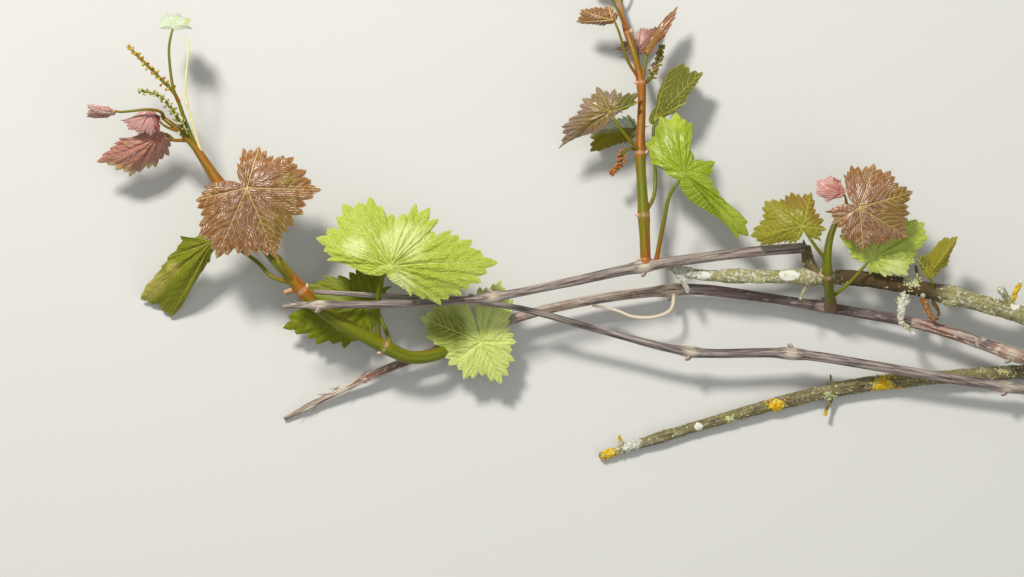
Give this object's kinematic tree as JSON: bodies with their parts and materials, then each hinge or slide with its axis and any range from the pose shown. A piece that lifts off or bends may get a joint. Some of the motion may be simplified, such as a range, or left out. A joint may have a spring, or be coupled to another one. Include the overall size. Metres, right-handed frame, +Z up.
{
  "type": "cut grapevine branch with spring shoots",
  "caption": "Cut grapevine branch lying flat: lichen-crusted old wood, long canes, and green shoots with lobed leaves, tendrils and flower buds.",
  "frame": {"origin": "under the middle of the lying branch, on the surface it lies on", "axes": "+X along the canes towards the cut end of the old arm, +Y the way the shoots grow, +Z up from the surface"},
  "size_m": [0.6846, 0.3105, 0.0663],
  "materials": {
    "old_wood": "old bark crusted with grey, white and yellow lichen",
    "cane_bark": "smooth striated one-year bark, grey to reddish brown",
    "green_stem": "glossy green shoot flushed orange-red at the nodes",
    "green_leaf": "thin bright green blade with raised veins",
    "olive_leaf": "thin olive green blade in shade",
    "bronze_leaf": "glossy young blade, red bronze, blistered between the veins",
    "pink_leaf": "small downy young blade, rose pink",
    "pale_leaf": "downy pale underside of a blade",
    "flower_buds": "tight green and orange flower buds on a thin stem"
  },
  "bodies": {
    "root": {"old_arm": "old_wood", "lower_branch": "old_wood", "middle_cane": "cane_bark", "lower_cane": "cane_bark", "upper_cane": "cane_bark", "left_shoot": "green_stem", "middle_shoot": "green_stem", "right_shoot": "green_stem", "left_big_leaf": "green_leaf", "left_lower_leaf": "green_leaf", "left_shaded_leaf": "olive_leaf", "left_red_leaf": "bronze_leaf", "left_hanging_leaf": "olive_leaf", "left_bronze_leaf": "bronze_leaf", "left_pink_leaf": "pink_leaf", "left_tip_leaf": "pink_leaf", "left_top_leaf": "pale_leaf", "middle_big_leaf": "green_leaf", "middle_olive_leaf": "olive_leaf", "middle_bronze_leaf": "bronze_leaf", "middle_grey_leaf": "pale_leaf", "middle_red_leaf": "bronze_leaf", "middle_side_leaf": "bronze_leaf", "middle_mauve_leaf": "pink_leaf", "middle_young_leaf": "bronze_leaf", "middle_upper_leaf": "bronze_leaf", "middle_tip_leaf": "pink_leaf", "right_green_leaf": "green_leaf", "right_red_leaf": "bronze_leaf", "right_pink_leaf": "pink_leaf", "right_under_leaf": "green_leaf", "right_edge_leaf": "olive_leaf", "cane_tendril": "green_stem", "left_tendril": "green_stem", "left_upper_cluster": "flower_buds", "left_tip_cluster": "flower_buds", "middle_cluster": "flower_buds", "middle_low_cluster": "flower_buds"}
  },
  "joints": []
}
